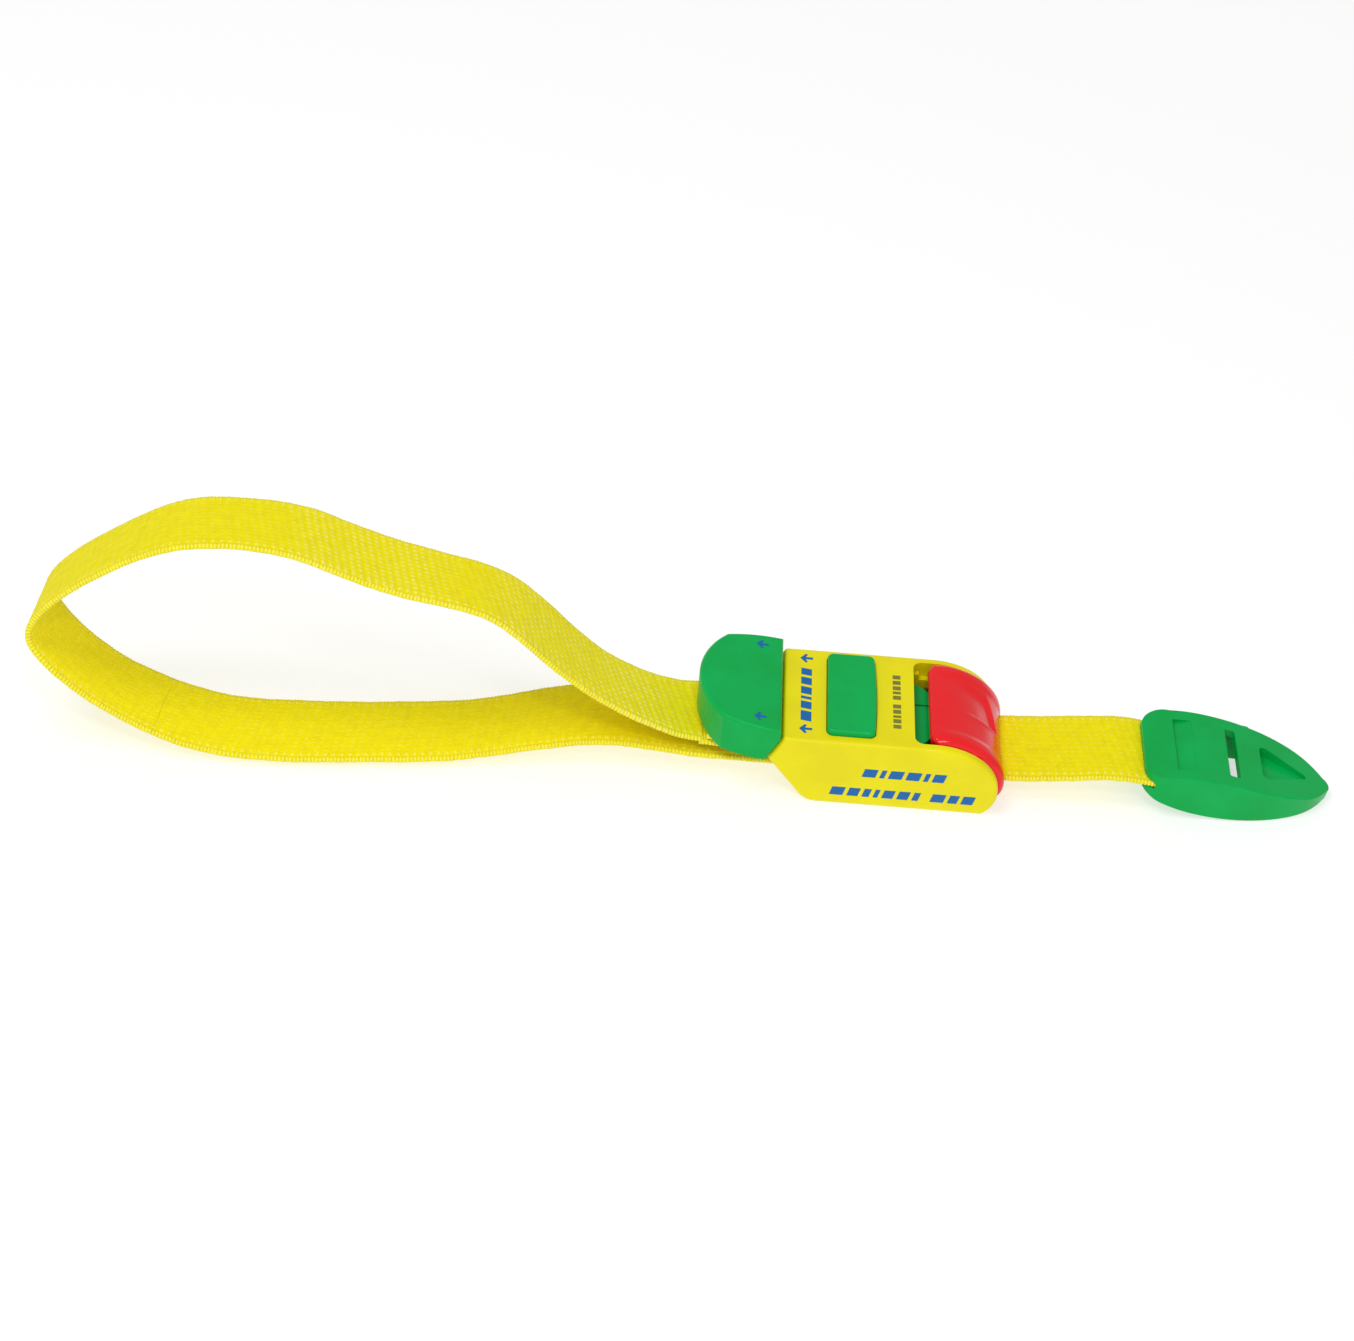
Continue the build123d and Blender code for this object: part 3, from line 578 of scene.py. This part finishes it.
def lever_skin():
    """The lever's back: a channel swept along a line and a quarter ellipse.

    Across it runs a closed outline: up one side, a quarter circle, over the back, down the other
    side and back along the inside. Each point stands off the ellipse along its normal. The back is
    lifted into a rounded rim along both sides, dished between them, hollowed by an oval thumb
    scoop with a sharp lip, and falls away in a quarter circle at both ends."""
    straight = np.linspace(LEVER_LEFT, LEVER_CENTRE[0], 10)[:-1]
    angle = np.radians(np.linspace(*LEVER_SWEEP, 120))
    x = np.concatenate((straight, LEVER_CENTRE[0] + LEVER_REACH[0] * np.cos(angle)))
    z = np.concatenate((straight * 0 + LEVER_CENTRE[1] + LEVER_REACH[1],
                        LEVER_CENTRE[1] + LEVER_REACH[1] * np.sin(angle)))
    normal_x = np.concatenate((straight * 0, np.cos(angle) / LEVER_REACH[0]))
    normal_z = np.concatenate((straight * 0 + 1, np.sin(angle) / LEVER_REACH[1]))
    size = np.hypot(normal_x, normal_z)
    normal_x, normal_z = normal_x / size, normal_z / size
    s = np.concatenate(([0], np.cumsum(np.hypot(np.diff(x), np.diff(z)))))
    reach = s[-1]

    flat = LEVER_HALF - SIDE_ROUND
    turn = np.linspace(0, pi / 2, 12)[1:]
    middle_y = np.linspace(-flat, flat, 110)
    side = SIDE_ROUND + SIDE_DEPTH * np.array([0.5, 1.0])
    half_y = np.concatenate((flat + SIDE_ROUND * np.sin(turn), side * 0 + LEVER_HALF))
    half_drop = np.concatenate((SIDE_ROUND * (1 - np.cos(turn)), side))
    half_lift = np.concatenate((np.cos(turn), side * 0))
    inside = LEVER_HALF - SKIN
    inner_y = np.array([inside, inside, -inside, -inside])
    inner_drop = np.array([side[1], SKIN, SKIN, side[1]])
    y = np.concatenate((-half_y[::-1], middle_y, half_y, inner_y))[None, :]
    drop = np.concatenate((half_drop[::-1], middle_y * 0, half_drop, inner_drop))[None, :]
    lift = np.concatenate((half_lift[::-1], middle_y * 0 + 1, half_lift, inner_y * 0))[None, :]
    skin = np.concatenate((half_lift[::-1] * 0 + 1, middle_y * 0 + 1, half_lift * 0 + 1,
                           inner_y * 0))[None, :]

    along = s[:, None]
    rim = RIM_HEIGHT * step(np.abs(y), *RIM_Y) * step(along, 1.0, 6.0)
    dish = -DISH_DEPTH * np.clip(1 - (y / DISH_HALF) ** 2, 0, 1) * step(along, 3.0, 12.0)
    lip = s[np.argmin(np.abs(np.degrees(np.arctan2((z - LEVER_CENTRE[1]) / LEVER_REACH[1],
                                                   (x - LEVER_CENTRE[0]) / LEVER_REACH[0]))
                             - LIP_ANGLE))]
    lip = lip - LIP_SWEEP * np.clip((y - SCOOP_Y[0]) / (SCOOP_Y[1] - SCOOP_Y[0]), 0, 1) ** 1.5
    scoop = -SCOOP_DEPTH * step(along, lip - 12.0, lip - 1.0) * (1 - step(along, lip, lip + 1.1))
    scoop = scoop * step(y, SCOOP_Y[0] - 0.5, SCOOP_Y[0] + 0.7)
    scoop = scoop * (1 - step(y, SCOOP_Y[1] - 3.5, SCOOP_Y[1] + 1.0))
    ridge = RIDGE_HEIGHT * np.exp(-((y - SCOOP_Y[0] + 0.9) / 0.5) ** 2)
    ridge = ridge * step(along, lip - 9, lip - 5) * (1 - step(along, lip, lip + 2))
    start = END_ROUND - np.sqrt(END_ROUND ** 2 - np.clip(END_ROUND - along, 0, END_ROUND) ** 2)
    finish = np.clip(along - (reach - END_ROUND), 0, END_ROUND)
    finish = END_ROUND - np.sqrt(END_ROUND ** 2 - finish ** 2)
    stand = -drop * np.ones_like(along) + lift * (rim + dish + scoop + ridge)
    ends = start + finish
    stand = np.where((skin > 0) & (ends > 0), np.minimum(stand, -ends), stand)
    corner = np.clip(np.abs(y) - (LEVER_HALF - CORNER_ROUND), 0, CORNER_ROUND)
    inset = (CORNER_ROUND - np.sqrt(CORNER_ROUND ** 2 - corner ** 2)) * (1 - step(along, 0, CORNER_RUN))
    points = np.stack([x[:, None] + stand * normal_x[:, None] + inset,
                       y * np.ones_like(along),
                       z[:, None] + stand * normal_z[:, None]], axis=-1)
    rows, columns = points.shape[:2]
    i, j = np.meshgrid(np.arange(rows - 1), np.arange(columns), indexing="ij")
    k = (j + 1) % columns
    quads = np.stack([i * columns + j, i * columns + k, (i + 1) * columns + k,
                      (i + 1) * columns + j], axis=-1).reshape(-1, 4)
    caps = [list(range(columns))[::-1], list(range((rows - 1) * columns, rows * columns))]
    return mesh_object("lever_skin", points.reshape(-1, 3), quads.tolist() + caps, red_abs,
                       flat_faces=2)


def outward(made, direction):
    """Turn the mesh's faces outwards; a film's top has to face against its direction."""
    work = bmesh.new()
    work.from_mesh(made.data)
    bmesh.ops.recalc_face_normals(work, faces=work.faces)
    if sum(f.normal.dot(direction) * f.calc_area() for f in work.faces
           if abs(f.normal.dot(direction)) > 0.7) > 1e-12:
        bmesh.ops.reverse_faces(work, faces=work.faces)
    work.to_mesh(made.data)
    work.free()


def prism(name, outlines, material):
    """Closed XZ outlines, each extruded from one Y to another."""
    points, faces = [], []
    for outline, low_y, high_y in outlines:
        first, count = len(points), len(outline)
        points += [(px, low_y, pz) for px, pz in outline]
        points += [(px, high_y, pz) for px, pz in outline]
        for triangle in tessellate_polygon([[Vector((px, 0, pz)) for px, pz in outline]]):
            faces.append([first + t for t in triangle])
            faces.append([first + count + t for t in reversed(triangle)])
        faces += [[first + a, first + (a + 1) % count, first + count + (a + 1) % count,
                   first + count + a] for a in range(count)]
    made = mesh_object(name, np.array(points, float), faces, material, flat_faces=len(faces))
    outward(made, Vector((0, 0, 0)))
    return made


# side plates and cam, as XZ outlines
plate = [(10.6, 18.3), (18.0, 6.0), (20.5, 3.8), (25.6, 3.9), (25.9, 7.0), (24.2, 12.6),
         (20.8, 16.6), (15.0, 18.9)]
cam_outline = [(12.6, 11.9), (12.8, 15.7), (15.0, 18.9), (18.2, 18.0), (22.0, 15.0),
               (19.6, 11.3), (19.0, 8.5), (18.2, 8.0), (17.6, 8.5), (17.0, 7.95), (16.4, 8.5),
               (15.8, 8.05), (15.0, 8.6)]
PLATE_Y = (13.2, 15.7)          # faces of a side plate
CAM_HALF = 10.6                 # half the cam's width

lever = lever_skin()
lever_web = prism("lever_web", [(plate, -PLATE_Y[1], -PLATE_Y[0]), (plate, *PLATE_Y),
                                (cam_outline, -CAM_HALF, CAM_HALF)], red_abs)
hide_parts("release_lever")
for piece in (lever, lever_web):
    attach(piece, "lever")

# --- prints ---------------------------------------------------------------------------------------

CAST_FROM = 20.0       # how far in front of an outline the cast starts
FILM = 0.05            # thickness of the ink, drawn thicker than printed so that it stays clear


def surface_of(node):
    """Ray-casting tree over a CAD node's own mesh, in metres."""
    mesh = nodes[node].data
    return BVHTree.FromPolygons([v.co for v in mesh.vertices],
                                [tuple(p.vertices) for p in mesh.polygons])


def film(name, outlines, node, toward, body, material):
    """Thin raised ink on a CAD surface.

    Each outline is a closed list of points in millimetres, cast along the direction toward onto
    the node; the film lies above what it hits, with a short skirt down into the surface."""
    tree = surface_of(node)
    direction = Vector(toward)
    points, faces = [], []
    for outline in outlines:
        start = len(points)
        count = len(outline)
        tops, feet = [], []
        for p in outline:
            origin = (Vector(p) - direction * CAST_FROM) * MM
            hit = tree.ray_cast(origin, direction)[0] / MM
            tops.append(hit - direction * FILM)
            feet.append(hit + direction * FILM)
        points += tops + feet
        for triangle in tessellate_polygon([[Vector(p) for p in outline]]):
            faces.append([start + t for t in triangle])
        for a in range(count):
            b = (a + 1) % count
            faces.append([start + a, start + b, start + count + b, start + count + a])
    made = mesh_object(name, np.array([list(p) for p in points]), faces, material,
                       flat_faces=len(faces))
    outward(made, direction)
    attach(made, body)
    return made


ROOF = 25.0            # height of the outlines cast down onto the roof
HEAD = 30.0            # and onto the plug's head
WALL = -18.5           # Y of the outlines cast back onto the front wall


def arrow(x, y, z, size):
    """Outline of an arrow that points along -X, its tip at the given point."""
    shape = [(0, 0), (0.42, 0.52), (0.6, 0.46), (0.44, 0.13), (1.0, 0.13),
             (1.0, -0.13), (0.44, -0.13), (0.6, -0.46), (0.42, -0.52)]
    return [(x + size * a, y + size * b, z) for a, b in shape]


def roof_bars(x, runs, height, slant):
    """Plain blocks in a row along Y on the roof, each from one Y to another."""
    return [[(x - height / 2, a + slant, ROOF), (x + height / 2, a, ROOF),
             (x + height / 2, b, ROOF), (x - height / 2, b + slant, ROOF)] for a, b in runs]


def wall_bars(z, runs, height, slant):
    """Plain blocks in a row along X on the front wall, each from one X to another."""
    return [[(a + slant, WALL, z + height / 2), (a, WALL, z - height / 2),
             (b, WALL, z - height / 2), (b + slant, WALL, z + height / 2)] for a, b in runs]


DOWN = (0, 0, -1)
BACK = (0, 1, 0)
film("roof_arrows_print", [arrow(-25.3, -13.9, ROOF, 3.3), arrow(-25.3, 14.3, ROOF, 3.3)],
     "housing_shell", DOWN, "housing", blue_ink)
film("roof_bar_print",
     roof_bars(-23.6, ((-11.0, -7.2), (-6.2, -3.4), (-2.4, -1.4), (-0.4, 2.4), (3.4, 6.2),
                       (7.2, 9.8)), 2.7, 0.5),
     "housing_shell", DOWN, "housing", blue_ink)
film("lever_side_print",
     roof_bars(-0.6, ((-11.0, -9.6), (-8.9, -7.4), (-6.8, -5.9), (-5.2, -3.7), (-3.1, -1.6),
                      (0.4, 1.9), (2.6, 3.6), (4.2, 5.7), (6.4, 7.9), (8.6, 10.1)), 2.0, 0.0),
     "housing_shell", DOWN, "housing", grey_ink)
film("head_arrows_print", [arrow(-36.8, -14.4, HEAD, 3.1), arrow(-36.8, 14.4, HEAD, 3.1)],
     "plug_body", DOWN, "plug", blue_ink)
film("wall_bar_print",
     wall_bars(11.0, ((-8.6, -5.2), (-4.2, -3.0), (-2.0, 1.4), (2.4, 5.8), (6.8, 8.0),
                      (9.0, 12.0)), 2.6, 0.7)
     + wall_bars(4.5, ((-16.2, -12.8), (-11.8, -9.0), (-8.0, -6.2), (-5.2, -4.0), (-3.0, -0.2),
                       (0.8, 3.6), (4.6, 6.2), (9.2, 12.6), (13.6, 16.0), (17.0, 20.0)),
                 2.6, 0.7),
     "housing_shell", BACK, "housing", blue_ink)

# --- stage and light ---------------------------------------------------------------------------------


FLOOR_REACH = 6.0      # half the floor's side, in metres
FLOOR_GAP = 0.02       # between the floor and the object's foot


def make_stage():
    """A pale floor at the object's foot, which glows a little so that shadows stay faint."""
    material, tree, surface = new_material("pale floor")
    surface.inputs["Base Color"].default_value = colour("#B4B4B4")
    surface.inputs["Roughness"].default_value = 0.9
    surface.inputs["Specular IOR Level"].default_value = 0.0
    surface.inputs["Emission Color"].default_value = colour("#FFFFFF")
    surface.inputs["Emission Strength"].default_value = 0.62
    mesh = bpy.data.meshes.new("floor")
    z = cad_low.z - FLOOR_GAP * MM
    corners = [(-1, -1), (1, -1), (1, 1), (-1, 1)]
    mesh.from_pydata([(x * FLOOR_REACH, y * FLOOR_REACH, z) for x, y in corners], [],
                     [(0, 1, 2, 3)])
    mesh.materials.append(material)
    floor = bpy.data.objects.new("floor", mesh)
    bpy.context.scene.collection.objects.link(floor)


def area_light(name, place, aim, size, power):
    """A square soft light that looks at a point."""
    data = bpy.data.lights.new(name, "AREA")
    data.shape = "SQUARE"
    data.size = size
    data.energy = power
    light = bpy.data.objects.new(name, data)
    light.location = place
    light.rotation_mode = "QUATERNION"
    light.rotation_quaternion = (Vector(aim) - Vector(place)).to_track_quat("-Z", "Y")
    bpy.context.scene.collection.objects.link(light)


make_stage()
middle = (cad_low + cad_high) / 2
area_light("key", (-0.45, -0.3, 1.1), middle, 0.5, 5.0)
area_light("front", (0.05, -0.75, 1.0), (0, 0, 0.01), 0.15, 2.2)
area_light("fill", (0.5, -1.1, 0.4), middle, 0.8, 1.0)

world = bpy.data.worlds.new("studio")
world.use_nodes = True
world.node_tree.nodes["Background"].inputs["Color"].default_value = (1, 1, 1, 1)
world.node_tree.nodes["Background"].inputs["Strength"].default_value = 0.5
bpy.context.scene.world = world
